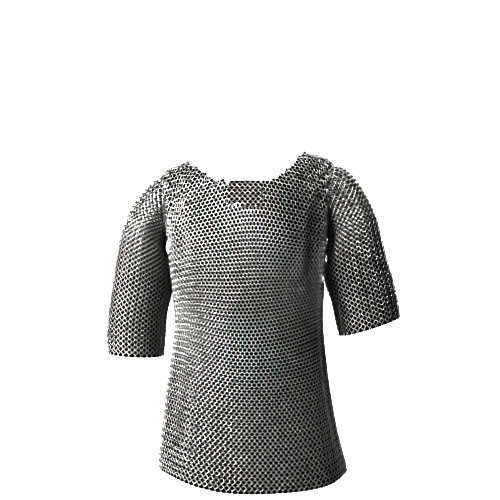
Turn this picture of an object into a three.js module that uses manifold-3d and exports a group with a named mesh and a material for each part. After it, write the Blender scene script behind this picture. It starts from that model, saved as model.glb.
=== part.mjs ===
// A short-sleeved shirt of ring mail, filled out as it hangs when it is worn.
// Millimetres, +Z up, the front faces -Y. The origin lies midway between the two shoulder tops, where the
// wearer's shoulders carry the shirt.
import * as THREE from "three";
import { mergeVertices } from "three/addons/utils/BufferGeometryUtils.js";
import Module from "manifold-3d";

const wasm = await Module();
wasm.setup();

// The mail is as thick as its leaning rings, and the pieces part by the seam gap.
const WALL = 5;
const SEAM = 0.3;

// The body tube, from the hem up to the crown over the neck. Each row is one level section of the outer face:
// z at its sides, dip of the front and back centres below that, the reach from the middle to each side, and how
// square the section is, where 2 is an ellipse.
const BODY_ROWS = [
  { z: -723, dip: 14, left: 203, right: 231, front: 162, back: 155, square: 2.4 },
  { z: -698, dip: 12, left: 203, right: 225, front: 158, back: 152, square: 2.4 },
  { z: -652, dip: 9, left: 199, right: 213, front: 150, back: 146, square: 2.4 },
  { z: -606, dip: 6, left: 193, right: 203, front: 142, back: 139, square: 2.4 },
  { z: -560, dip: 4, left: 189, right: 195, front: 135, back: 132, square: 2.4 },
  { z: -514, dip: 2, left: 183, right: 188, front: 129, back: 124, square: 2.4 },
  { z: -468, dip: 0, left: 176, right: 183, front: 124, back: 115, square: 2.4 },
  { z: -422, dip: 0, left: 170, right: 178, front: 120, back: 107, square: 2.4 },
  { z: -365, dip: 0, left: 167, right: 175, front: 118, back: 101, square: 2.4 },
  { z: -305, dip: 0, left: 171, right: 175, front: 120, back: 104, square: 2.55 },
  { z: -245, dip: 0, left: 177, right: 177, front: 122, back: 110, square: 2.75 },
  { z: -190, dip: 0, left: 181, right: 183, front: 119, back: 110, square: 2.9 },
  { z: -150, dip: 0, left: 191, right: 191, front: 113, back: 106, square: 2.9 },
  { z: -112, dip: 0, left: 199, right: 199, front: 104, back: 99, square: 2.9 },
  { z: -80, dip: 0, left: 203, right: 203, front: 94, back: 91, square: 2.9 },
  { z: -52, dip: 0, left: 204, right: 204, front: 84, back: 82, square: 2.8 },
  { z: -34, dip: 0, left: 199, right: 199, front: 75, back: 74, square: 2.65 },
  { z: -22, dip: 0, left: 188, right: 188, front: 68, back: 67, square: 2.5 },
  { z: -12, dip: 0, left: 168, right: 168, front: 58, back: 58, square: 2.4 },
  { z: 0, dip: 0, left: 137, right: 137, front: 46, back: 46, square: 2.4 },
  { z: 12, dip: 0, left: 96, right: 96, front: 30, back: 30, square: 2.4 },
];
const BODY_AROUND = 52;
const BODY_STEPS = 30;

// The shoulder line falls towards the left of the picture, and the tilt fades out at the waist.
const TILT = 0.075;
const TILT_FULL_Z = -60;
const TILT_NONE_Z = -430;

// The hem rides up towards the sides of the front: angle from the centre front, half width, both in degrees,
// and the rise, which fades out below the waist.
const HEM_LIFTS = [
  { at: -56, half: 60, lift: 17 },
  { at: 75, half: 45, lift: 6 },
];
const HEM_LIFT_FULL_Z = -723;
const HEM_LIFT_NONE_Z = -430;

// Soft vertical folds of the body: angle from the centre front, towards the right side, in degrees, half width
// in degrees, depth (a ridge is positive), and the heights between which the fold fades in and out.
const BODY_FOLDS = [
  { at: -58, half: 15, depth: -5, top: -330, bottom: -760 },
  { at: -34, half: 13, depth: 3, top: -420, bottom: -800 },
  { at: 14, half: 15, depth: -2.5, top: -460, bottom: -800 },
  { at: 47, half: 14, depth: 4, top: -400, bottom: -800 },
  { at: 72, half: 12, depth: -5, top: -300, bottom: -780 },
  { at: 118, half: 15, depth: 4, top: -380, bottom: -800 },
  { at: 149, half: 15, depth: -6, top: -330, bottom: -780 },
  { at: 183, half: 13, depth: 5, top: -380, bottom: -800 },
  { at: 214, half: 15, depth: -6, top: -300, bottom: -790 },
  { at: 246, half: 14, depth: 4, top: -360, bottom: -800 },
  { at: -46, half: 14, depth: -5, top: -40, bottom: -290 },
  { at: 46, half: 14, depth: -6, top: -40, bottom: -310 },
  { at: 136, half: 16, depth: -6, top: -50, bottom: -300 },
  { at: 224, half: 16, depth: -6, top: -50, bottom: -300 },
];

// The sleeves, from the cuff up to a root inside the body tube. Each row is one slanting section of the outer
// face: the point on its outer side, the point on its body side, and its reach to the front and to the back.
const LEFT_SLEEVE_ROWS = [
  { outX: 321, outZ: -454, inX: 190, inZ: -461, front: 71, back: 66 },
  { outX: 322, outZ: -400, inX: 186, inZ: -410, front: 72, back: 67 },
  { outX: 317, outZ: -345, inX: 182, inZ: -362, front: 72, back: 67 },
  { outX: 308, outZ: -285, inX: 177, inZ: -316, front: 72, back: 67 },
  { outX: 299, outZ: -222, inX: 177, inZ: -273, front: 71, back: 67 },
  { outX: 287, outZ: -168, inX: 181, inZ: -240, front: 70, back: 66 },
  { outX: 267, outZ: -122, inX: 186, inZ: -215, front: 68, back: 65 },
  { outX: 240, outZ: -84, inX: 184, inZ: -197, front: 66, back: 63 },
  { outX: 216, outZ: -57, inX: 179, inZ: -182, front: 63, back: 60 },
  { outX: 190, outZ: -50, inX: 166, inZ: -165, front: 56, back: 54 },
  { outX: 150, outZ: -62, inX: 145, inZ: -145, front: 40, back: 38 },
];
const RIGHT_SLEEVE_ROWS = [
  { outX: 353, outZ: -371, inX: 211, inZ: -416, front: 73, back: 67 },
  { outX: 346, outZ: -330, inX: 202, inZ: -376, front: 73, back: 67 },
  { outX: 336, outZ: -284, inX: 193, inZ: -335, front: 73, back: 67 },
  { outX: 323, outZ: -240, inX: 184, inZ: -293, front: 72, back: 67 },
  { outX: 311, outZ: -192, inX: 180, inZ: -254, front: 71, back: 67 },
  { outX: 299, outZ: -146, inX: 182, inZ: -222, front: 70, back: 66 },
  { outX: 279, outZ: -100, inX: 184, inZ: -197, front: 68, back: 65 },
  { outX: 251, outZ: -54, inX: 182, inZ: -178, front: 66, back: 63 },
  { outX: 219, outZ: -25, inX: 177, inZ: -162, front: 63, back: 60 },
  { outX: 190, outZ: -22, inX: 165, inZ: -147, front: 56, back: 54 },
  { outX: 150, outZ: -38, inX: 145, inZ: -130, front: 40, back: 38 },
];
const SLEEVE_SQUARENESS = 2.15;
const SLEEVE_AROUND = 30;
const SLEEVE_STEPS = 15;

// Creases of the sleeves, in the same terms as the body's folds, at angles round the sleeve.
const SLEEVE_FOLDS = [
  { at: -18, half: 24, depth: -3, top: -60, bottom: -300 },
  { at: 62, half: 20, depth: 3, top: -120, bottom: -500 },
  { at: 128, half: 24, depth: -4, top: -90, bottom: -420 },
  { at: 205, half: 22, depth: 3, top: -150, bottom: -500 },
  { at: 285, half: 22, depth: -3, top: -200, bottom: -480 },
];

// The neck opening: a flat front edge that slants up to the shoulder tops. The back is cut a little wider.
const NECK = {
  bottomZ: -60, leftBottomX: -72, rightBottomX: 66,
  leftTopX: -137, leftTopZ: -9, rightTopX: 128, rightTopZ: 8, clearZ: 60,
};
const NECK_BACK_EXTRA = 8;

// The closing panel let into the front below the neck edge.
const INSERT = { left: -43, right: 35, bottomZ: -119 };

// Larger than the shirt, for the blocks that cut it.
const BEYOND = 400;
const PAST_EDGE = 30;

const smoothstep = THREE.MathUtils.smoothstep;

// One row of a table at a share of its length, with every column on a Catmull-Rom spline.
function rowAt(rows, share) {
  const place = share * (rows.length - 1);
  const before = Math.min(Math.floor(place), rows.length - 2);
  const t = place - before;
  const four = [-1, 0, 1, 2].map((k) => rows[THREE.MathUtils.clamp(before + k, 0, rows.length - 1)]);
  const row = {};
  for (const column of Object.keys(rows[0])) {
    const [a, b, c, d] = four.map((r) => r[column]);
    row[column] =
      b + 0.5 * t * (c - a + t * (2 * a - 5 * b + 4 * c - d + t * (3 * (b - c) + d - a)));
  }
  return row;
}

// A soft bump round an angle, from 1 at its middle to 0 at its half width, all in degrees.
function bumpAt({ at, half }, angle) {
  const away = Math.abs(THREE.MathUtils.euclideanModulo(angle - at + 180, 360) - 180);
  return away < half ? 0.5 + 0.5 * Math.cos((Math.PI * away) / half) : 0;
}

// How far the folds move the cloth out at an angle, in degrees, and a height.
function foldAt(folds, angle, z) {
  let out = 0;
  for (const fold of folds) {
    if (z >= fold.top || z <= fold.bottom) continue;
    const along = Math.sin((Math.PI * (fold.top - z)) / (fold.top - fold.bottom));
    out += fold.depth * bumpAt(fold, angle) * along;
  }
  return out;
}

const signedPower = (value, power) => Math.sign(value) * Math.abs(value) ** power;

// The points round one level section of the body. Angles run from the centre front towards the right side.
function bodyRing(row) {
  const ring = [];
  for (let i = 0; i < BODY_AROUND; i++) {
    const turn = (2 * Math.PI * i) / BODY_AROUND;
    const angle = THREE.MathUtils.radToDeg(turn);
    const side = signedPower(Math.sin(turn), 2 / row.square);
    const front = signedPower(Math.cos(turn), 2 / row.square);
    const out = foldAt(BODY_FOLDS, angle, row.z);
    const x = side * ((side > 0 ? row.right : row.left) + out);
    const y = -front * ((front > 0 ? row.front : row.back) + out);
    const tilt = TILT * x * smoothstep(row.z, TILT_NONE_Z, TILT_FULL_Z);
    const lift = HEM_LIFTS.reduce((sum, each) => sum + each.lift * bumpAt(each, angle), 0);
    const liftShare = 1 - smoothstep(row.z, HEM_LIFT_FULL_Z, HEM_LIFT_NONE_Z);
    ring.push(new THREE.Vector3(x, y, row.z - row.dip * front * front + tilt + lift * liftShare));
  }
  return ring;
}

// The points round one slanting section of a sleeve, on the left (-1) or right (+1) side.
function sleeveRing(row, hand) {
  const outer = new THREE.Vector3(hand * row.outX, 0, row.outZ);
  const inner = new THREE.Vector3(hand * row.inX, 0, row.inZ);
  const middle = outer.clone().lerp(inner, 0.5);
  const half = outer.clone().sub(inner).multiplyScalar(hand / 2);
  const ring = [];
  for (let i = 0; i < SLEEVE_AROUND; i++) {
    const turn = (2 * Math.PI * i) / SLEEVE_AROUND;
    const side = signedPower(Math.sin(turn), 2 / SLEEVE_SQUARENESS);
    const front = signedPower(Math.cos(turn), 2 / SLEEVE_SQUARENESS);
    const out = foldAt(SLEEVE_FOLDS, hand * THREE.MathUtils.radToDeg(turn), middle.z);
    const point = middle.clone().addScaledVector(half, side * (1 + out / half.length()));
    point.y = -front * ((front > 0 ? row.front : row.back) + out);
    ring.push(point);
  }
  return ring;
}

// Rings from the lower end of a tube to its upper end.
function tubeRings(rows, steps, ringOf) {
  return Array.from({ length: steps + 1 }, (_, j) => ringOf(rowAt(rows, j / steps)));
}

// The same rings moved along the outward normals of the tube.
function movedOut(rings, distance) {
  const around = rings[0].length;
  return rings.map((ring, j) =>
    ring.map((point, i) => {
      const along = ring[(i + 1) % around].clone().sub(ring[(i + around - 1) % around]);
      const below = rings[Math.max(j - 1, 0)][i];
      const above = rings[Math.min(j + 1, rings.length - 1)][i];
      const normal = along.cross(above.clone().sub(below)).normalize();
      return point.clone().addScaledVector(normal, distance);
    }),
  );
}

// The same rings with a further one that runs past the lower end of the tube.
function reachingPast(rings, distance) {
  const past = rings[0].map((point, i) => {
    const away = point.clone().sub(rings[1][i]).normalize();
    return point.clone().addScaledVector(away, distance);
  });
  return [past, ...rings];
}

function solidOf(geometry) {
  const bare = geometry.clone();
  bare.deleteAttribute("normal");
  bare.deleteAttribute("uv");
  const merged = mergeVertices(bare, 1e-4);
  return new wasm.Manifold(
    new wasm.Mesh({
      numProp: 3,
      vertProperties: new Float32Array(merged.attributes.position.array),
      triVerts: new Uint32Array(merged.index.array),
    }),
  );
}

// A solid body bounded by rings, closed with a fan at each end.
function ringSolid(rings) {
  const around = rings[0].length;
  const points = rings.flat();
  const middleOf = (ring) =>
    ring.reduce((sum, p) => sum.add(p), new THREE.Vector3()).divideScalar(ring.length);
  const low = points.push(middleOf(rings[0])) - 1;
  const high = points.push(middleOf(rings[rings.length - 1])) - 1;
  const faces = [];
  for (let i = 0; i < around; i++) {
    const next = (i + 1) % around;
    faces.push(low, next, i);
    for (let j = 0; j + 1 < rings.length; j++) {
      const a = j * around + i;
      const b = j * around + next;
      faces.push(a, b, b + around, a, b + around, a + around);
    }
    const top = (rings.length - 1) * around;
    faces.push(high, top + i, top + next);
  }
  const geometry = new THREE.BufferGeometry().setFromPoints(points);
  geometry.setIndex(faces);
  return solidOf(geometry);
}

function blockSolid(low, high) {
  const size = high.clone().sub(low);
  const block = new THREE.BoxGeometry(size.x, size.y, size.z);
  const middle = low.clone().lerp(high, 0.5);
  return solidOf(block.translate(middle.x, middle.y, middle.z));
}

// The body's half in front of the shoulder line (-1) or behind it (+1), parted by the seam gap.
function halfBlock(hand) {
  const near = (hand * SEAM) / 2;
  const far = hand * BEYOND;
  return blockSolid(
    new THREE.Vector3(-BEYOND, Math.min(near, far), -2 * BEYOND),
    new THREE.Vector3(BEYOND, Math.max(near, far), BEYOND),
  );
}

// The slanting block that opens the neck, in front of the shoulder line or behind it.
function neckBlock(hand, extra) {
  const outline = new THREE.Shape();
  outline.moveTo(NECK.leftBottomX - extra, NECK.bottomZ - extra);
  outline.lineTo(NECK.rightBottomX + extra, NECK.bottomZ - extra);
  outline.lineTo(NECK.rightTopX, NECK.rightTopZ);
  outline.lineTo(NECK.rightTopX, NECK.clearZ);
  outline.lineTo(NECK.leftTopX, NECK.clearZ);
  outline.lineTo(NECK.leftTopX, NECK.leftTopZ);
  const block = new THREE.ExtrudeGeometry(outline, { depth: BEYOND, bevelEnabled: false });
  block.rotateX(Math.PI / 2);
  if (hand > 0) block.translate(0, BEYOND, 0);
  return solidOf(block);
}

function insertBlock(grow) {
  return blockSolid(
    new THREE.Vector3(INSERT.left - grow, -BEYOND, INSERT.bottomZ - grow),
    new THREE.Vector3(INSERT.right + grow, 0, NECK.clearZ),
  );
}

function meshOf(name, solid, material) {
  const { numProp, vertProperties, triVerts } = solid.getMesh();
  const points = [];
  for (let i = 0; i < vertProperties.length; i += numProp) {
    points.push(...vertProperties.subarray(i, i + 3));
  }
  const geometry = new THREE.BufferGeometry();
  geometry.setAttribute("position", new THREE.Float32BufferAttribute(points, 3));
  geometry.setIndex(Array.from(triVerts));
  geometry.computeVertexNormals();
  const mesh = new THREE.Mesh(geometry, material);
  mesh.name = name;
  return mesh;
}

// The wall of the body tube, open at the hem.
const bodyRings = tubeRings(BODY_ROWS, BODY_STEPS, bodyRing);
const bodyFilled = ringSolid(bodyRings);
const bodyHollow = ringSolid(reachingPast(movedOut(bodyRings, -WALL), PAST_EDGE));
const bodyWall = bodyFilled.subtract(bodyHollow);
const bodyClearance = ringSolid(movedOut(bodyRings, SEAM));

// One sleeve's wall, cut to meet the body's outer face, and the hollow that opens its armhole.
function sleeveSolids(rows, hand) {
  const rings = tubeRings(rows, SLEEVE_STEPS, (row) => sleeveRing(row, hand));
  const hollow = ringSolid(reachingPast(movedOut(rings, -WALL), PAST_EDGE));
  return { wall: ringSolid(rings).subtract(hollow).subtract(bodyClearance), hollow };
}

const leftSleeve = sleeveSolids(LEFT_SLEEVE_ROWS, -1);
const rightSleeve = sleeveSolids(RIGHT_SLEEVE_ROWS, 1);
const bodyOpen = bodyWall.subtract(leftSleeve.hollow).subtract(rightSleeve.hollow);
const frontHalf = bodyOpen.intersect(halfBlock(-1)).subtract(neckBlock(-1, 0));
const backHalf = bodyOpen.intersect(halfBlock(1)).subtract(neckBlock(1, NECK_BACK_EXTRA));

const mail = new THREE.MeshStandardMaterial({ color: 0x8f9090, roughness: 0.42, metalness: 1 });
const insertMail = new THREE.MeshStandardMaterial({ color: 0x8b8783, roughness: 0.45, metalness: 1 });

const hauberk = new THREE.Group();
hauberk.add(meshOf("body_front", frontHalf.subtract(insertBlock(SEAM)), mail));
hauberk.add(meshOf("body_back", backHalf, mail));
hauberk.add(meshOf("neck_insert", frontHalf.intersect(insertBlock(0)), insertMail));
hauberk.add(meshOf("sleeve_left", leftSleeve.wall, mail));
hauberk.add(meshOf("sleeve_right", rightSleeve.wall, mail));

export default hauberk;
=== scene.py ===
import math
from collections import Counter, namedtuple

import bmesh
import bpy
import numpy as np
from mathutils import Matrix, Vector
from mathutils.bvhtree import BVHTree


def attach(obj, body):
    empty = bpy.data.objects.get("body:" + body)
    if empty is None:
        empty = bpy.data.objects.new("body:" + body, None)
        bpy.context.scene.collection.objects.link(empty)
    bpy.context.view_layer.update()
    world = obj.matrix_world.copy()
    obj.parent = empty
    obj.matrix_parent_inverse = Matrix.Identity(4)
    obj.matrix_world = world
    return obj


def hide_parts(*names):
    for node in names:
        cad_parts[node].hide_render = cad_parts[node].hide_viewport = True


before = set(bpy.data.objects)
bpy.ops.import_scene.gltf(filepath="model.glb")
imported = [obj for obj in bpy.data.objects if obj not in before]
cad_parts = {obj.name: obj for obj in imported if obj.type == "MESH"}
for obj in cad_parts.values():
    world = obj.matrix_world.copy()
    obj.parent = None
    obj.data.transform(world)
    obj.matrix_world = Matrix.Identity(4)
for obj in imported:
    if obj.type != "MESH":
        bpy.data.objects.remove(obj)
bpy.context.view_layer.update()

# The body is one tube of mail, open at the hem and over the neck. Its form is level sections from the hem up
# to the crown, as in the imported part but 2 to 3 mm wider under the arms. Its middle lies half a wall in.
WALL = 0.005

Section = namedtuple("Section", "z dip left right front back square")
BODY_ROWS = [
    Section(-0.723, 0.014, 0.203, 0.231, 0.162, 0.155, 2.4),
    Section(-0.698, 0.012, 0.203, 0.225, 0.158, 0.152, 2.4),
    Section(-0.652, 0.009, 0.199, 0.213, 0.150, 0.146, 2.4),
    Section(-0.606, 0.006, 0.193, 0.203, 0.142, 0.139, 2.4),
    Section(-0.560, 0.004, 0.189, 0.195, 0.135, 0.132, 2.4),
    Section(-0.514, 0.002, 0.183, 0.188, 0.129, 0.124, 2.4),
    Section(-0.468, 0.000, 0.176, 0.183, 0.124, 0.115, 2.4),
    Section(-0.422, 0.000, 0.170, 0.178, 0.120, 0.107, 2.4),
    Section(-0.365, 0.000, 0.167, 0.175, 0.118, 0.101, 2.4),
    Section(-0.305, 0.000, 0.173, 0.178, 0.120, 0.104, 2.55),
    Section(-0.245, 0.000, 0.180, 0.180, 0.122, 0.110, 2.75),
    Section(-0.190, 0.000, 0.183, 0.185, 0.119, 0.110, 2.9),
    Section(-0.150, 0.000, 0.191, 0.191, 0.113, 0.106, 2.9),
    Section(-0.112, 0.000, 0.199, 0.199, 0.104, 0.099, 2.9),
    Section(-0.080, 0.000, 0.203, 0.203, 0.094, 0.091, 2.9),
    Section(-0.052, 0.000, 0.204, 0.204, 0.084, 0.082, 2.8),
    Section(-0.034, 0.000, 0.199, 0.199, 0.075, 0.074, 2.65),
    Section(-0.022, 0.000, 0.188, 0.188, 0.068, 0.067, 2.5),
    Section(-0.012, 0.000, 0.168, 0.168, 0.058, 0.058, 2.4),
    Section(0.000, 0.000, 0.137, 0.137, 0.046, 0.046, 2.4),
    Section(0.012, 0.000, 0.096, 0.096, 0.030, 0.030, 2.4),
]
TILT, TILT_FULL_Z, TILT_NONE_Z = 0.075, -0.060, -0.430

Lift = namedtuple("Lift", "at half lift")
HEM_LIFTS = [Lift(-56, 60, 0.017), Lift(75, 45, 0.006)]
HEM_LIFT_FULL_Z, HEM_LIFT_NONE_Z = -0.723, -0.430

Fold = namedtuple("Fold", "at half depth top bottom")
BODY_FOLDS = [
    Fold(-58, 15, -0.0050, -0.330, -0.760),
    Fold(-34, 13, 0.0030, -0.420, -0.800),
    Fold(14, 15, -0.0025, -0.460, -0.800),
    Fold(47, 14, 0.0040, -0.400, -0.800),
    Fold(72, 12, -0.0050, -0.300, -0.780),
    Fold(118, 15, 0.0040, -0.380, -0.800),
    Fold(149, 15, -0.0060, -0.330, -0.780),
    Fold(183, 13, 0.0050, -0.380, -0.800),
    Fold(214, 15, -0.0060, -0.300, -0.790),
    Fold(246, 14, 0.0040, -0.360, -0.800),
    Fold(-46, 14, -0.0050, -0.040, -0.290),
    Fold(46, 14, -0.0060, -0.040, -0.310),
    Fold(136, 16, -0.0060, -0.050, -0.300),
    Fold(224, 16, -0.0060, -0.050, -0.300),
]


def rows_at(rows, share):
    """The rows of a table at shares of its length, each column on a Catmull-Rom spline, as named arrays."""
    table = np.array(rows)
    place = share * (len(rows) - 1)
    before = np.minimum(place.astype(int), len(rows) - 2)
    t = (place - before)[..., None]
    a, b, c, d = (table[np.clip(before + k, 0, len(rows) - 1)] for k in (-1, 0, 1, 2))
    values = b + 0.5 * t * (c - a + t * (2 * a - 5 * b + 4 * c - d + t * (3 * (b - c) + d - a)))
    return type(rows[0])(*np.moveaxis(values, -1, 0))


def bump(around, angle):
    """1 at a fold's middle angle, falling softly to 0 at its half width, in degrees."""
    away = np.abs((angle - around.at + 180) % 360 - 180)
    return np.where(away < around.half, 0.5 + 0.5 * np.cos(np.pi * np.minimum(away / around.half, 1)), 0)


def fold_depth(folds, angle, z):
    total = np.zeros(np.broadcast(angle, z).shape)
    for fold in folds:
        along = np.sin(np.pi * np.clip((fold.top - z) / (fold.top - fold.bottom), 0, 1))
        total += fold.depth * bump(fold, angle) * along
    return total


def smooth_share(value, low, high):
    t = np.clip((value - low) / (high - low), 0, 1)
    return t * t * (3 - 2 * t)


def signed_power(value, power):
    return np.sign(value) * np.abs(value) ** power


def body_point(turn, share):
    """The body's outer face at an angle from the centre front to the right, and a share of the height."""
    row = rows_at(BODY_ROWS, share)
    angle = np.degrees(turn)
    side = signed_power(np.sin(turn), 2 / row.square)
    front = signed_power(np.cos(turn), 2 / row.square)
    out = fold_depth(BODY_FOLDS, angle, row.z)
    x = side * (np.where(side > 0, row.right, row.left) + out)
    y = -front * (np.where(front > 0, row.front, row.back) + out)
    tilt = TILT * x * smooth_share(row.z, TILT_NONE_Z, TILT_FULL_Z)
    lift = sum(each.lift * bump(each, angle) for each in HEM_LIFTS)
    lift = lift * (1 - smooth_share(row.z, HEM_LIFT_FULL_Z, HEM_LIFT_NONE_Z))
    return np.stack([x, y, row.z - row.dip * front * front + tilt + lift], axis=-1)


class Skin:
    """A tube's middle surface, as a fine grid: equal steps of arc round it, and of share along it."""

    AROUND, ALONG, TRACE = 540, 260, 1440

    def __init__(self, point):
        share = np.linspace(0, 1, self.ALONG + 1)[:, None]
        turn = np.linspace(0, 2 * np.pi, self.TRACE + 1)[None, :]
        outer = point(turn + 0 * share, share + 0 * turn)
        step = np.linalg.norm(np.diff(outer, axis=1), axis=2)
        arc = np.concatenate([np.zeros((len(share), 1)), np.cumsum(step, axis=1)], axis=1)
        self.girth = arc[:, -1]
        even = np.linspace(0, 1, self.AROUND + 1)
        grid = np.empty((len(share), self.AROUND + 1, 3))
        for j, row in enumerate(outer):
            for k in range(3):
                grid[j, :, k] = np.interp(even * self.girth[j], arc[j], row[:, k])
        ring = grid[:, :-1]
        across = np.roll(ring, -1, axis=1) - np.roll(ring, 1, axis=1)
        normal = np.cross(across, np.gradient(ring, axis=0))
        normal /= np.linalg.norm(normal, axis=2, keepdims=True)
        middle = ring - WALL / 2 * normal
        self.points = np.concatenate([middle, middle[:, :1]], axis=1)
        self.normals = np.concatenate([normal, normal[:, :1]], axis=1)

    def _mixed(self, grid, u, v):
        x = (u % 1) * self.AROUND
        y = np.clip(v, 0, 1) * self.ALONG
        i = np.minimum(x.astype(int), self.AROUND - 1)
        j = np.minimum(y.astype(int), self.ALONG - 1)
        fx, fy = (x - i)[..., None], (y - j)[..., None]
        low = grid[j, i] * (1 - fx) + grid[j, i + 1] * fx
        high = grid[j + 1, i] * (1 - fx) + grid[j + 1, i + 1] * fx
        return low * (1 - fy) + high * fy

    def at(self, u, v):
        return self._mixed(self.points, u, v)

    def facing(self, u, v):
        normal = self._mixed(self.normals, u, v)
        return normal / np.linalg.norm(normal, axis=-1, keepdims=True)

    def slopes(self, u, v):
        """How the point moves for a step of u and of v."""
        du, dv = 1 / self.AROUND, 1 / self.ALONG
        across = (self.at(u + du, v) - self.at(u - du, v)) / (2 * du)
        v0, v1 = np.clip(v - dv, 0, 1), np.clip(v + dv, 0, 1)
        along = (self.at(u, v1) - self.at(u, v0)) / (v1 - v0)[..., None]
        return across, along


body_skin = Skin(body_point)


class Net:
    """Places for linked rings on a skin: half columns by rows, with a ring at every second one."""

    EVENING = 80

    def __init__(self, skin, u, v, closed=True):
        self.skin, self.u, self.v, self.closed = skin, u, v, closed
        rows, columns = u.shape
        r, c = np.mgrid[:rows, :columns]
        self.row, self.column = r, c
        self.ringed = (r + c) % 2 == 0

    def neighbour(self, values, dr, dc):
        """Each place's neighbour so many rows up and half columns on, or the place itself past an edge."""
        r = np.clip(self.row + dr, 0, self.u.shape[0] - 1)
        c = self.column + dc
        c = c % self.u.shape[1] if self.closed else np.clip(c, 0, self.u.shape[1] - 1)
        return values[r, c]

    def settle(self, alive, rounds, held_rows=()):
        """Moves the rings over the skin until the four links of each are about as long as its own mean."""
        alive = alive & self.ringed
        sides = ((1, 1), (1, -1), (-1, 1), (-1, -1))
        there = {}
        for dr, dc in sides:
            inside = (self.row + dr >= 0) & (self.row + dr < self.u.shape[0])
            if not self.closed:
                inside &= (self.column + dc >= 0) & (self.column + dc < self.u.shape[1])
            there[dr, dc] = inside & alive & self.neighbour(alive, dr, dc)
        links = sum(there.values())
        alive = alive & (links > 0)

        def lengths():
            point = self.skin.at(self.u, self.v)
            ways = {s: self.neighbour(point, *s) - point for s in sides}
            return ways, {s: np.linalg.norm(way, axis=2) for s, way in ways.items()}

        ways, size = lengths()
        mean = sum(np.where(there[s], size[s], 0) for s in sides) / np.maximum(links, 1)
        for _ in range(self.EVENING):
            around = sum(np.where(there[s], self.neighbour(mean, *s), 0) for s in sides)
            mean = np.where(links > 0, 0.5 * mean + 0.5 * around / np.maximum(links, 1), mean)
        for _ in range(rounds):
            ways, size = lengths()
            move = np.zeros(self.u.shape + (3,))
            for s in sides:
                target = 0.5 * (mean + self.neighbour(mean, *s))
                pull = 0.5 * (1 - target / np.maximum(size[s], 1e-6))
                move += np.where(there[s], pull, 0)[..., None] * ways[s]
            move *= 1.2 / np.maximum(links, 1)[..., None]
            across, along = self.skin.slopes(self.u, self.v)
            aa, ab, bb = ((x * y).sum(2) for x, y in ((across, across), (across, along), (along, along)))
            ma, mb = (move * across).sum(2), (move * along).sum(2)
            fixed = aa * bb - ab * ab
            du, dv = (bb * ma - ab * mb) / fixed, (aa * mb - ab * ma) / fixed
            for row in held_rows:
                dv[row] = 0
            self.u = self.u + np.where(alive, du, 0)
            self.v = np.clip(self.v + np.where(alive, dv, 0), 0, 1)

    def directions(self):
        """Each place's point, outward normal, and the net's directions along its row and up its column."""
        point = self.skin.at(self.u, self.v)
        normal = self.skin.facing(self.u, self.v)
        right = self.neighbour(point, 1, 1) + self.neighbour(point, -1, 1)
        right = right - self.neighbour(point, 1, -1) - self.neighbour(point, -1, -1)
        right -= (right * normal).sum(2, keepdims=True) * normal
        right /= np.maximum(np.linalg.norm(right, axis=2, keepdims=True), 1e-9)
        return point, normal, right, np.cross(right, -normal)


# Mail is woven so that rings in a row lean one way and the next row's lean the other. A row round this body
# has the same number of rings from hem to shoulders, and the rows follow the shoulders' slope over the chest.
BODY_COLUMNS = 108
HEM_TO_FIRST_ROW = 0.0055
Hang = namedtuple("Hang", "z link broad middle")
BODY_HANG = Hang(*zip(
    (-0.723, 0.00870, 0.035, 0.00),
    (-0.600, 0.00887, 0.100, 0.00),
    (-0.510, 0.00890, 0.050, 0.11),
    (-0.420, 0.00925, 0.000, 0.12),
    (-0.325, 0.00937, -0.080, 0.07),
    (-0.237, 0.00940, 0.030, -0.20),
    (-0.170, 0.00950, 0.080, -0.27),
))
MIDDLE_WIDTH = 0.15
SHOULDER_Z = (-0.110, -0.060)
SHOULDER_REACH = (0.186, 0.198)
NECK_REACH = 0.120
ROW_TILT, ROW_TILT_Z = 0.080, (-0.430, -0.330)
ROW_DROOP, ROW_DROOP_WIDTH = 0.56, 0.050
ROW_DROOP_FROM_Z, ROW_DROOP_FULL_Z = {-1: -0.530, 1: -0.420}, -0.175
SHOULDER_ROWS, SHOULDER_ROWS_Z = 104, (-0.220, -0.050)
ROW_GAP = 0.008
COLUMN_STEP, COLUMN_LENGTH = 0.002, 0.9
RISING_STEPS = 400
WIDEST_HALF_COLUMN = 0.006
SETTLING = 100

column_place = np.arange(2 * BODY_COLUMNS) / BODY_COLUMNS
goes_up_front = np.where((column_place < 0.5) | (column_place >= 1.5), 1.0, -1.0)
from_front = np.minimum(column_place, 2 - column_place)
middle_part = np.array([math.erf(t / MIDDLE_WIDTH) for t in from_front])
middle_part = MIDDLE_WIDTH * math.sqrt(math.pi) / 2 * middle_part


def share_of_girth(z):
    """Where each half column stands round the body at a height, as a share of the girth."""
    broad = np.interp(z, BODY_HANG.z, BODY_HANG.broad)
    middle = np.interp(z, BODY_HANG.z, BODY_HANG.middle)
    away = from_front + broad / math.pi * np.sin(np.pi * from_front) + middle * middle_part
    away = away / (2 * (1 + middle * middle_part.max()))
    return np.where(column_place <= 1, away, 1 - away) % 1


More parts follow.
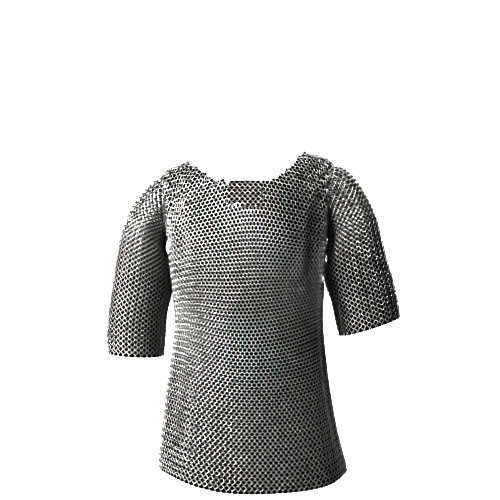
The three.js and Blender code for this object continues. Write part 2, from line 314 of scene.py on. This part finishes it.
def body_net():
    u, v = share_of_girth(np.full(2 * BODY_COLUMNS, BODY_HANG.z[0])), np.zeros(2 * BODY_COLUMNS)
    tracks, count = [], np.zeros(2 * BODY_COLUMNS)
    reach = None
    for _ in range(int(COLUMN_LENGTH / COLUMN_STEP)):
        point = body_skin.at(u, v)
        across, along = body_skin.slopes(u, v)
        spacing = np.linalg.norm(np.roll(point, -1, axis=0) - np.roll(point, 1, axis=0), axis=1) / 2
        for _ in range(30):
            spacing = spacing / 2 + np.roll(spacing, 1) / 4 + np.roll(spacing, -1) / 4
        link = np.interp(point[:, 2], BODY_HANG.z, BODY_HANG.link)
        row_gap = np.sqrt(link ** 2 - np.clip(spacing, 0, WIDEST_HALF_COLUMN) ** 2)
        tracks.append((u, v, count, point[:, 1], point[:, 2], point[:, 0]))
        count = count + COLUMN_STEP / row_gap
        size = np.linalg.norm(along, axis=1)
        next_z = point[:, 2] + COLUMN_STEP * along[:, 2] / size
        du = (share_of_girth(next_z) - share_of_girth(point[:, 2]) + 0.5) % 1 - 0.5
        dv = COLUMN_STEP / size
        over_u, over_v = -goes_up_front * along[:, 0], goes_up_front * across[:, 0]
        size = np.linalg.norm(over_u[:, None] * across + over_v[:, None] * along, axis=1)
        over_u, over_v = COLUMN_STEP * over_u / size, COLUMN_STEP * over_v / size
        if reach is None or (point[:, 2] < SHOULDER_Z[0]).all():
            reach = 1 - smooth_share(np.abs(point[:, 0]), *SHOULDER_REACH)
        over = smooth_share(point[:, 2], *SHOULDER_Z) * reach
        u = u + du * (1 - over) + over_u * over
        v = np.clip(v + dv * (1 - over) + over_v * over, 0, 1)
    u, v, count, y, z, x = (np.array(t) for t in zip(*tracks))

    arch = ROW_DROOP * (np.sqrt(x ** 2 + ROW_DROOP_WIDTH ** 2) - ROW_DROOP_WIDTH)
    droop_from = np.where(x < 0, ROW_DROOP_FROM_Z[-1], ROW_DROOP_FROM_Z[1])
    arch = arch * smooth_share(z, droop_from, ROW_DROOP_FULL_Z)
    drop = arch - ROW_TILT * x * smooth_share(z, *ROW_TILT_Z)
    number = count + drop / ROW_GAP
    seam = np.full(2 * BODY_COLUMNS, np.nan)
    top_x = np.empty(2 * BODY_COLUMNS)
    for c in range(2 * BODY_COLUMNS):
        number[:, c] -= np.interp(HEM_TO_FIRST_ROW, COLUMN_STEP * np.arange(len(u)), number[:, c])
        past = np.nonzero((goes_up_front[c] * y[:, c] > 0) & (z[:, c] > SHOULDER_Z[1]))[0]
        top_x[c] = np.interp(SHOULDER_Z[0], z[:RISING_STEPS, c], x[:RISING_STEPS, c])
        if len(past) and reach[c] > 0.9 and abs(top_x[c]) > NECK_REACH:
            seam[c] = number[past[0], c]
    met = np.isfinite(seam)
    for side in (1, -1):
        mine = goes_up_front == side
        known = np.argsort(top_x[mine & met])
        seam[mine & ~met] = np.interp(top_x[mine & ~met], top_x[mine & met][known], seam[mine & met][known])
    rows = SHOULDER_ROWS
    shape = (rows + 1, 2 * BODY_COLUMNS)
    net_u, net_v = np.empty(shape), np.empty(shape)
    for c in range(shape[1]):
        level = number[:, c] + (rows - seam[c]) * smooth_share(z[:, c], *SHOULDER_ROWS_Z)
        net_u[:, c] = np.interp(np.arange(rows + 1), level, u[:, c])
        net_v[:, c] = np.interp(np.arange(rows + 1), level, v[:, c])
    return Net(body_skin, net_u, net_v)


body_mail = body_net()
body_mail.settle(np.ones(body_mail.u.shape, bool), SETTLING, held_rows=(0,))


class Solid:
    """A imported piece's solid, which says how deep a point lies inside it, below zero outside."""

    def __init__(self, *names):
        points, faces = [], []
        for name in names:
            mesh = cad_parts[name].data
            start = len(points)
            points += [v.co.copy() for v in mesh.vertices]
            faces += [[start + i for i in polygon.vertices] for polygon in mesh.polygons]
        self.tree = BVHTree.FromPolygons(points, faces)

    def depth(self, point):
        near, normal, _, away = self.tree.find_nearest(Vector(point))
        return away if (near - Vector(point)).dot(normal) > 0 and away < WALL else -away


def within(solid, point, right, up, inset, wanted, slack=0.0007):
    """Which wanted places lie in the solid or within the slack of it, also an inset to each side of them."""
    kept = np.zeros(wanted.shape, bool)
    inset = np.broadcast_to(inset, wanted.shape)
    for r, c in zip(*np.nonzero(wanted)):
        p, a, b = point[r, c], right[r, c] * inset[r, c], up[r, c] * inset[r, c]
        kept[r, c] = all(solid.depth(q) > -slack for q in (p, p + a, p - a, p + b, p - b))
    return kept


# The shade inside the mail shows through every gap between its rings. Here it is painted shade: a thin
# near-black shell just behind them, with their own places as its corners. It is no lining, and hides the
# rings' backs.
SHADE_SHELL_INSET = 0.0028
SHADE_SHELL_WALL = 0.0004
EDGE_REACH = 0.0045


class Value:
    """A shader socket whose arithmetic is written as in Python."""

    def __init__(self, tree, socket):
        self.tree, self.socket = tree, socket

    def node(self, kind, settings=None, output=0, **inputs):
        made = self.tree.nodes.new(kind)
        for name, value in (settings or {}).items():
            if name == "stops":
                ramp = made.color_ramp.elements
                while len(ramp) < len(value):
                    ramp.new(0.5)
                for element, (place, colour) in zip(ramp, value):
                    element.position, element.color = place, colour
            else:
                setattr(made, name, value)
        for name, value in inputs.items():
            key = int(name[1:]) if name[0] == "_" and name[1:].isdigit() else name.replace("_", " ")
            if isinstance(value, Value):
                self.tree.links.new(value.socket, made.inputs[key])
            else:
                made.inputs[key].default_value = value
        return Value(self.tree, made.outputs[output])

    def _math(self, operation, a, b):
        return self.node("ShaderNodeMath", {"operation": operation}, _0=a, _1=b)

    def __add__(self, other):
        return self._math("ADD", self, other)

    def __radd__(self, other):
        return self._math("ADD", other, self)

    def __sub__(self, other):
        return self._math("SUBTRACT", self, other)

    def __rsub__(self, other):
        return self._math("SUBTRACT", other, self)

    def __mul__(self, other):
        return self._math("MULTIPLY", self, other)

    def __rmul__(self, other):
        return self._math("MULTIPLY", other, self)


def new_material(name, metallic=0.0, roughness=0.5):
    """A material, with its shader's node and an empty value to start its maths from."""
    made = bpy.data.materials.new(name)
    made.use_nodes = True
    shader = made.node_tree.nodes["Principled BSDF"]
    shader.inputs["Metallic"].default_value = metallic
    shader.inputs["Roughness"].default_value = roughness
    return made, shader, Value(made.node_tree, None)


def mixed(start, share, low, high):
    """A colour between two, by a share from 0 to 1."""
    made = start.tree.nodes.new("ShaderNodeMix")
    made.data_type = "RGBA"
    for index, value in ((0, share), (6, low), (7, high)):
        if isinstance(value, Value):
            start.tree.links.new(value.socket, made.inputs[index])
        else:
            made.inputs[index].default_value = value
    return Value(start.tree, made.outputs[2])


# Painted shade: a near-black, slightly mottled colour that stands for the shade seen through the mail's gaps.
inside, shader, start = new_material("painted_shade_inside", roughness=0.8)
shader.inputs["Specular IOR Level"].default_value = 0.0
place = start.node("ShaderNodeTexCoord", output="Object")
mottle = start.node("ShaderNodeTexNoise", {}, Vector=place, Scale=60.0, Detail=3.0)
dark = mixed(start, mottle, (0.002, 0.002, 0.002, 1), (0.006, 0.006, 0.006, 1))
start.tree.links.new(dark.socket, shader.inputs["Base Color"])


def painted_shade_shell(name, net, corners, wanted_side, free):
    """The painted-shade shell behind the rings of one panel: the net's own four-cornered cells, and half cells
    at its edges. At a free edge it reaches as far as the last rings' holes."""
    point, normal, _, _ = net.directions()
    point = point - SHADE_SHELL_INSET * normal
    rows, columns = net.u.shape
    cells = []
    for r in range(rows):
        for c in range(1 - r % 2, columns, 2):
            cell = []
            for i, j in ((r - 1, c), (r, c + 1), (r + 1, c), (r, c - 1)):
                if 0 <= i < rows and (net.closed or 0 <= j < columns) and corners[i, j % columns]:
                    cell.append((i, j % columns))
            if len(cell) >= 3:
                cells.append((cell, np.mean([point[k] for k in cell], axis=0)))
    sides = Counter(frozenset(side) for cell, _ in cells for side in zip(cell, cell[1:] + cell[:1]))
    outward = {k: np.zeros(3) for side, times in sides.items() if times == 1 for k in side}
    for cell, middle in cells:
        for k in cell:
            if k in outward:
                outward[k] += point[k] - middle
    for k, way in outward.items():
        if free[k]:
            point[k] = point[k] + EDGE_REACH * way / np.linalg.norm(way)
    made = bmesh.new()
    corner = {}
    for cell, middle in cells:
        if wanted_side is None or wanted_side * middle[1] > 0:
            for k in cell:
                if k not in corner:
                    corner[k] = made.verts.new(point[k])
            made.faces.new([corner[k] for k in cell])
    mesh = bpy.data.meshes.new(name)
    made.to_mesh(mesh)
    made.free()
    piece = bpy.data.objects.new(name, mesh)
    bpy.context.collection.objects.link(piece)
    mesh.shade_smooth()
    thick = piece.modifiers.new("wall", "SOLIDIFY")
    thick.thickness, thick.offset = SHADE_SHELL_WALL, -1.0
    flat = bpy.data.meshes.new_from_object(piece.evaluated_get(bpy.context.evaluated_depsgraph_get()))
    piece.modifiers.clear()
    piece.data = flat
    flat.name = name
    flat.materials.append(inside)
    return piece


# Each ring is a length of round steel wire bent until its ends meet, and hooked through four others. Here the
# wire is three-sided, and the rings aren't pushed apart, so neighbours' wires cut into each other. They lean
# less where the body turns to its sides.
RING_RADIUS = 0.0058
WIRE_RADIUS = 0.0008
WIRE_SIDES, WIRE_STEPS = 3, 11
BUTT_GAP = math.radians(3)
LEAN = math.radians(16)
SIDE_LEAN, SIDE_FROM, SIDE_FULL = 0.45, 0.35, 0.85
LEAN_SPREAD = math.radians(2)
PLACE_SPREAD = 0.0002


def ring_tree(material):
    """The nodes that put one bent wire on each point, square to its axis and with its ends turned one way."""
    tree = bpy.data.node_groups.new("linked_rings", "GeometryNodeTree")
    sockets = {}
    for name, kind, value in (
        ("Geometry", "NodeSocketGeometry", None),
        ("Ring radius", "NodeSocketFloat", RING_RADIUS),
        ("Wire radius", "NodeSocketFloat", WIRE_RADIUS),
        ("Sweep", "NodeSocketFloat", math.tau - BUTT_GAP),
        ("Steps", "NodeSocketInt", WIRE_STEPS),
        ("Sides", "NodeSocketInt", WIRE_SIDES),
    ):
        socket = tree.interface.new_socket(name, in_out="INPUT", socket_type=kind)
        if value is not None:
            socket.default_value = value
        sockets[name] = (socket.identifier, value)
    tree.interface.new_socket("Geometry", in_out="OUTPUT", socket_type="NodeSocketGeometry")

    def node(kind, **settings):
        made = tree.nodes.new(kind)
        for name, value in settings.items():
            setattr(made, name, value)
        return made

    def join(a, out, b, into):
        tree.links.new(a.outputs[out], b.inputs[into])

    given = node("NodeGroupInput")
    bent = node("GeometryNodeCurveArc", mode="RADIUS")
    section = node("GeometryNodeCurvePrimitiveCircle", mode="RADIUS")
    wire = node("GeometryNodeCurveToMesh")
    wire.inputs["Fill Caps"].default_value = True
    join(given, "Steps", bent, "Resolution")
    join(given, "Ring radius", bent, "Radius")
    join(given, "Sweep", bent, "Sweep Angle")
    join(given, "Sides", section, "Resolution")
    join(given, "Wire radius", section, "Radius")
    join(bent, "Curve", wire, "Curve")
    join(section, "Curve", wire, "Profile Curve")
    axis = node("GeometryNodeInputNamedAttribute", data_type="FLOAT_VECTOR")
    axis.inputs["Name"].default_value = "axis"
    opening = node("GeometryNodeInputNamedAttribute", data_type="FLOAT_VECTOR")
    opening.inputs["Name"].default_value = "opening"
    turn = node("FunctionNodeAxesToRotation", primary_axis="Z", secondary_axis="X")
    join(axis, "Attribute", turn, 0)
    join(opening, "Attribute", turn, 1)
    placed = node("GeometryNodeInstanceOnPoints")
    join(given, "Geometry", placed, "Points")
    join(wire, "Mesh", placed, "Instance")
    join(turn, "Rotation", placed, "Rotation")
    real = node("GeometryNodeRealizeInstances")
    join(placed, "Instances", real, "Geometry")
    smooth = node("GeometryNodeSetShadeSmooth")
    join(real, 0, smooth, 0)
    painted = node("GeometryNodeSetMaterial")
    painted.inputs["Material"].default_value = material
    join(smooth, 0, painted, 0)
    out = node("NodeGroupOutput")
    join(painted, 0, out, 0)
    return tree, sockets


def steel(name, low, high):
    """Drawn steel wire: each ring a little lighter or darker than the next, and dulled here and there."""
    made, shader, start = new_material(name, metallic=1.0)
    tint = start.node("ShaderNodeAttribute", {"attribute_name": "tint"}, output="Fac")
    place = start.node("ShaderNodeTexCoord", output="Object")
    dulled = start.node("ShaderNodeTexNoise", {}, Vector=place, Scale=22.0, Detail=4.0)
    colour = mixed(start, tint * 0.6 + dulled * 0.4, low, high)
    start.tree.links.new(colour.socket, shader.inputs["Base Color"])
    rough = 0.27 + 0.08 * tint + 0.08 * dulled
    start.tree.links.new(rough.socket, shader.inputs["Roughness"])
    return made


mail_steel = steel("drawn_steel_wire", (0.745, 0.74, 0.735, 1), (0.93, 0.926, 0.92, 1))


def rings(name, net, kept, lean_along_rows, material, seed):
    """Rings on the kept places of a net, as one mesh with a cell of the picture plane for each ring."""
    point, normal, right, up = net.directions()
    r, c = np.nonzero(kept)
    chance = np.random.default_rng(seed)
    point, normal, right, up = point[r, c], normal[r, c], right[r, c], up[r, c]
    along, sign = (right, 1 - 2 * (r % 2)) if lean_along_rows else (up, 1 - 2 * (c % 2))
    share = 1 - (1 - SIDE_LEAN) * smooth_share(np.abs(normal[:, 0]), SIDE_FROM, SIDE_FULL) * lean_along_rows
    lean = sign * LEAN * share
    lean = (lean + chance.normal(0, LEAN_SPREAD / 2, len(r)))[:, None]
    nod = chance.normal(0, LEAN_SPREAD / 2, len(r))[:, None]
    across = up if lean_along_rows else right
    axis = np.cos(lean) * normal + np.sin(lean) * along + nod * across
    axis /= np.linalg.norm(axis, axis=1, keepdims=True)
    point = point + chance.uniform(-PLACE_SPREAD, PLACE_SPREAD, point.shape)
    turn = chance.uniform(0, math.tau, len(r))[:, None]
    opening = np.cos(turn) * right + np.sin(turn) * up
    tree, sockets = ring_tree(material)
    mesh = bpy.data.meshes.new(name)
    mesh.from_pydata(point.tolist(), [], [])
    for key, values in (("axis", axis), ("opening", opening)):
        layer = mesh.attributes.new(key, "FLOAT_VECTOR", "POINT")
        layer.data.foreach_set("vector", values.astype(np.float32).ravel())
    layer = mesh.attributes.new("tint", "FLOAT", "POINT")
    layer.data.foreach_set("value", chance.uniform(0, 1, len(r)).astype(np.float32))
    piece = bpy.data.objects.new(name, mesh)
    bpy.context.collection.objects.link(piece)
    links = piece.modifiers.new("rings", "NODES")
    links.node_group = tree
    for identifier, value in sockets.values():
        if value is not None:
            links[identifier] = value
    made = bpy.data.meshes.new_from_object(piece.evaluated_get(bpy.context.evaluated_depsgraph_get()))
    piece.modifiers.clear()
    piece.data = made
    made.name = name
    if not made.materials:
        made.materials.append(material)
    for key in ("axis", "opening"):
        if key in made.attributes:
            made.attributes.remove(made.attributes[key])
    one_cell_each(made, len(r))
    return piece


def one_cell_each(mesh, count):
    """Lays each ring out in its own square cell of the picture plane."""
    across = math.ceil(math.sqrt(count))
    loops = len(mesh.loops) // count
    corners = len(mesh.vertices) // count
    corner = np.empty(len(mesh.loops), np.int32)
    mesh.loops.foreach_get("vertex_index", corner)
    corner = corner[:loops]
    station, side = corner // WIRE_SIDES, corner % WIRE_SIDES
    u = 0.06 + 0.88 * station / (corners // WIRE_SIDES - 1)
    v = side / WIRE_SIDES
    starts = np.array([p.loop_start for p in mesh.polygons[:len(mesh.polygons) // count]])
    for s, total in zip(starts, np.diff(np.append(starts, loops))):
        sides = side[s:s + total]
        if sides.min() == 0 and sides.max() == WIRE_SIDES - 1 and total == 4:
            v[s:s + total] = np.where(sides == 0, 1.0, v[s:s + total])
    v = 0.06 + 0.88 * v
    cell = np.arange(count)
    u = (cell % across)[:, None] / across + u[None] / across
    v = (cell // across)[:, None] / across + v[None] / across
    layer = mesh.uv_layers.new(name="OFBake")
    layer.uv.foreach_set("vector", np.stack([u, v], axis=2).astype(np.float32).ravel())


EDGE_INSET = 0.0015
INSERT_EDGE_Z = -0.080
SPLIT_Z = -0.400
PAST_SHOULDER_LINE = 0.004
point, normal, right, up = body_mail.directions()
body_solid = Solid("body_front", "body_back")
same_side = (goes_up_front[None, :] * -point[..., 1] > -PAST_SHOULDER_LINE) | (point[..., 2] < SHOULDER_Z[0])
seam_row = (body_mail.row == SHOULDER_ROWS) & (goes_up_front < 0)[None, :]
near = body_mail.ringed & same_side & ~seam_row
at_neck = (np.abs(point[..., 0]) < NECK_REACH) & (point[..., 2] > INSERT_EDGE_Z)
kept = within(body_solid, point, right, up, np.where(at_neck, EDGE_INSET, 0), near)
kept[0] = near[0]
front = point[..., 1] < 0
upper = point[..., 2] > SPLIT_Z
hem_or_neck = ~upper | (np.abs(point[..., 0]) < NECK_REACH)

body_parts = {}
for part, side, sign in (("front", front, -1), ("back", ~front, 1)):
    # The painted-shade shell for this panel, a near-black sheet where there is only shade.
    shell = painted_shade_shell("inside_" + part, body_mail, kept, sign, hem_or_neck)
    for level, where in (("upper", upper), ("skirt", ~upper)):
        name = f"rings_{part}_{level}"
        seed = len(body_parts) + 1
        body_parts[name] = rings(name, body_mail, kept & side & where, True, mail_steel, seed)
        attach(body_parts[name], "root")
        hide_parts("body_" + part)
    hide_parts("body_" + part)
    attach(shell, "root")
    0.347 if part == "front" else 0.344


# The insert is a small panel of the same rings, let into the front under the neck edge, with its rows out of
# line with those round it. Its rings are a little browner.
INSERT_PITCH, INSERT_ROW = 0.01167, 0.0064
INSERT_HALF_COLUMNS, INSERT_ROWS = 8, 10
INSERT_MIDDLE = (-0.004, -0.066)
SEARCH_FROM, SEARCH_ROUNDS, SEARCH_STEP = 0.85, 40, 0.7
insert_steel = steel("handled_steel_wire", (0.68, 0.662, 0.655, 1), (0.86, 0.838, 0.83, 1))
half = np.arange(-INSERT_HALF_COLUMNS, INSERT_HALF_COLUMNS + 1) * INSERT_PITCH / 2
down = np.arange(INSERT_ROWS) * -INSERT_ROW
want_x, want_z = np.meshgrid(INSERT_MIDDLE[0] + half, INSERT_MIDDLE[1] + down)
u = want_x
v = np.full(u.shape, SEARCH_FROM)
for _ in range(SEARCH_ROUNDS):
    p = body_skin.at(u, v)
    across, along = body_skin.slopes(u, v)
    u = u + SEARCH_STEP * (want_x - p[..., 0]) / across[..., 0]
    v = np.clip(v + SEARCH_STEP * (want_z - p[..., 2]) / along[..., 2], 0, 1)
insert_mail = Net(body_skin, u[::-1], v[::-1], closed=False)
point, normal, right, up = insert_mail.directions()
insert_kept = within(Solid("neck_insert"), point, right, up, 0, insert_mail.ringed)
insert_shell = painted_shade_shell("inside_insert", insert_mail, insert_kept, None, insert_mail.ringed)
insert_rings = rings("rings_insert", insert_mail, insert_kept, True, insert_steel, seed=9)
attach(insert_rings, "root")
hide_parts("neck_insert")
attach(insert_shell, "root")
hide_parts("neck_insert")


# Each sleeve is a tube of the same mail, linked into the armhole. Its rows run along the arm, so they hang
# open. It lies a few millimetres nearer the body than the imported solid, which it may leave by the slack.
SLEEVE_COLUMNS, SLEEVE_LENGTH_IN_ROWS = 62, 84
SLEEVE_STEP, SLEEVE_OUTER_MORE = 0.00565, {-1: 0.08, 1: -0.03}
SLEEVE_SQUARENESS = 2.15
SLEEVE_SLACK = 0.004
Cuff = namedtuple("Cuff", "out_x out_z in_x in_z front back")
LEFT_ROWS = [
    Cuff(0.321, -0.454, 0.190, -0.461, 0.071, 0.066),
    Cuff(0.322, -0.400, 0.186, -0.410, 0.072, 0.067),
    Cuff(0.317, -0.345, 0.182, -0.362, 0.072, 0.067),
    Cuff(0.308, -0.285, 0.172, -0.316, 0.072, 0.067),
    Cuff(0.299, -0.222, 0.172, -0.273, 0.071, 0.067),
    Cuff(0.287, -0.168, 0.176, -0.240, 0.070, 0.066),
    Cuff(0.267, -0.122, 0.186, -0.215, 0.068, 0.065),
    Cuff(0.240, -0.084, 0.184, -0.197, 0.067, 0.064),
    Cuff(0.216, -0.057, 0.179, -0.182, 0.066, 0.063),
    Cuff(0.190, -0.050, 0.166, -0.165, 0.060, 0.058),
    Cuff(0.150, -0.062, 0.145, -0.145, 0.040, 0.038),
]
RIGHT_ROWS = [
    Cuff(0.353, -0.371, 0.211, -0.416, 0.073, 0.067),
    Cuff(0.346, -0.330, 0.202, -0.376, 0.073, 0.067),
    Cuff(0.336, -0.284, 0.193, -0.335, 0.073, 0.067),
    Cuff(0.323, -0.240, 0.1785, -0.293, 0.072, 0.067),
    Cuff(0.311, -0.192, 0.1735, -0.254, 0.071, 0.067),
    Cuff(0.299, -0.146, 0.1755, -0.222, 0.070, 0.066),
    Cuff(0.279, -0.100, 0.184, -0.197, 0.068, 0.065),
    Cuff(0.251, -0.054, 0.182, -0.178, 0.067, 0.064),
    Cuff(0.219, -0.025, 0.177, -0.162, 0.066, 0.063),
    Cuff(0.190, -0.022, 0.165, -0.147, 0.060, 0.058),
    Cuff(0.150, -0.038, 0.145, -0.130, 0.040, 0.038),
]
SLEEVE_FOLDS = [
    Fold(-18, 24, -0.003, -0.060, -0.300),
    Fold(62, 20, 0.003, -0.120, -0.500),
    Fold(128, 24, -0.004, -0.090, -0.420),
    Fold(205, 22, 0.003, -0.150, -0.500),
    Fold(285, 22, -0.003, -0.200, -0.480),
]


def sleeve_skin(rows, hand):
    def point(turn, share):
        row = rows_at(rows, share)
        outer = np.stack([hand * row.out_x, 0 * row.out_z, row.out_z], axis=-1)
        inner = np.stack([hand * row.in_x, 0 * row.in_z, row.in_z], axis=-1)
        middle, half = (outer + inner) / 2, (outer - inner) * hand / 2
        out = fold_depth(SLEEVE_FOLDS, hand * np.degrees(turn), middle[..., 2])
        side = signed_power(np.sin(turn), 2 / SLEEVE_SQUARENESS)
        front = signed_power(np.cos(turn), 2 / SLEEVE_SQUARENESS)
        length = np.linalg.norm(half, axis=-1)
        at = middle + half * (side * (1 + out / length))[..., None]
        at[..., 1] = -front * (np.where(front > 0, row.front, row.back) + out)
        return at
    return Skin(point)


def sleeve_net(skin, hand):
    u = np.arange(SLEEVE_COLUMNS) / SLEEVE_COLUMNS
    v = np.zeros(SLEEVE_COLUMNS)
    outer = SLEEVE_OUTER_MORE[hand] * hand * np.sin(math.tau * u)
    all_u, all_v = [], []
    step = HEM_TO_FIRST_ROW * np.ones(SLEEVE_COLUMNS)
    for _ in range(SLEEVE_LENGTH_IN_ROWS):
        across, along = skin.slopes(u, v)
        v = np.clip(v + step / np.linalg.norm(along, axis=1), 0, 1)
        all_u.append(u)
        all_v.append(v)
        step = SLEEVE_STEP * (1 + outer)
    return Net(skin, np.array(all_u), np.array(all_v))


for name, rows, hand, area in (("left", LEFT_ROWS, -1, 0.1468), ("right", RIGHT_ROWS, 1, 0.1404)):
    net = sleeve_net(sleeve_skin(rows, hand), hand)
    point, normal, right, up = net.directions()
    moving = net.ringed & (net.v < 0.999)
    sleeve_kept = within(Solid("sleeve_" + name), point, right, up, 0, moving, slack=SLEEVE_SLACK)
    sleeve_kept[0] = moving[0]
    shell = painted_shade_shell("inside_sleeve_" + name, net, sleeve_kept, None, net.row == 0)
    piece = rings("rings_sleeve_" + name, net, sleeve_kept, False, mail_steel, seed=20 + hand)
    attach(piece, "root")
    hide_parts("sleeve_" + name)
    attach(shell, "root")
    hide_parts("sleeve_" + name)


# A plain pale floor, below the shirt as it hangs, and four studio lamps: a broad key on the left in front, a
# smaller rim high on the right, a fill behind for the back, and a weak fill in front. The camera sees a white
# surround that hardly lights the shirt, and the grading gives the hard contrast.
FLOOR_Z = -1.40
FLOOR_HALF = 1.9
floor_mesh = bpy.data.meshes.new("floor")
floor_mesh.from_pydata(
    [(x * FLOOR_HALF, y * FLOOR_HALF, FLOOR_Z) for x, y in ((-1, -1), (1, -1), (1, 1), (-1, 1))],
    [],
    [(0, 1, 2, 3)],
)
floor = bpy.data.objects.new("floor", floor_mesh)
bpy.context.collection.objects.link(floor)
pale, shader, start = new_material("pale_floor", roughness=0.7)
shader.inputs["Base Color"].default_value = (0.80, 0.80, 0.80, 1)
floor_mesh.materials.append(pale)

world = bpy.data.worlds.new("studio")
bpy.context.scene.world = world
world.use_nodes = True
world.node_tree.nodes.clear()
air = Value(world.node_tree, None)
seen = air.node("ShaderNodeLightPath", output="Is Camera Ray")
strength = 0.012 + seen * 0.988
sky = air.node("ShaderNodeBackground", {}, Color=(1, 1, 1, 1), Strength=strength)
out = world.node_tree.nodes.new("ShaderNodeOutputWorld")
world.node_tree.links.new(sky.socket, out.inputs["Surface"])
grading = bpy.context.scene.view_settings
grading.view_transform, grading.exposure, grading.gamma = "Standard", 0.95, 0.38

Lamp = namedtuple("Lamp", "name place size power")
AIM = Vector((0, 0, -0.33))
for lamp in (
    Lamp("key", (-2.1, -1.4, 0.6), 1.4, 84),
    Lamp("rim", (1.5, -0.6, 1.8), 0.5, 36),
    Lamp("back_fill", (0.3, 2.5, 0.8), 1.6, 45),
    Lamp("front_fill", (0.0, -2.9, 0.9), 1.2, 19),
):
    data = bpy.data.lights.new(lamp.name, "AREA")
    data.size, data.energy = lamp.size, lamp.power
    light = bpy.data.objects.new(lamp.name, data)
    bpy.context.collection.objects.link(light)
    light.location = lamp.place
    light.rotation_euler = (AIM - Vector(lamp.place)).to_track_quat("-Z", "Y").to_euler()

# The camera stands level in front, at the height of the chest.
CAMERA = (0.0069, -2.1, -0.2162)
HALF_FRAME = 0.575
data = bpy.data.cameras.new("camera")
data.sensor_fit = "HORIZONTAL"
data.angle = 2 * math.atan(HALF_FRAME / -CAMERA[1])
camera = bpy.data.objects.new("camera", data)
bpy.context.collection.objects.link(camera)
camera.location = CAMERA
camera.rotation_euler = (math.pi / 2, 0, 0)
bpy.context.scene.camera = camera
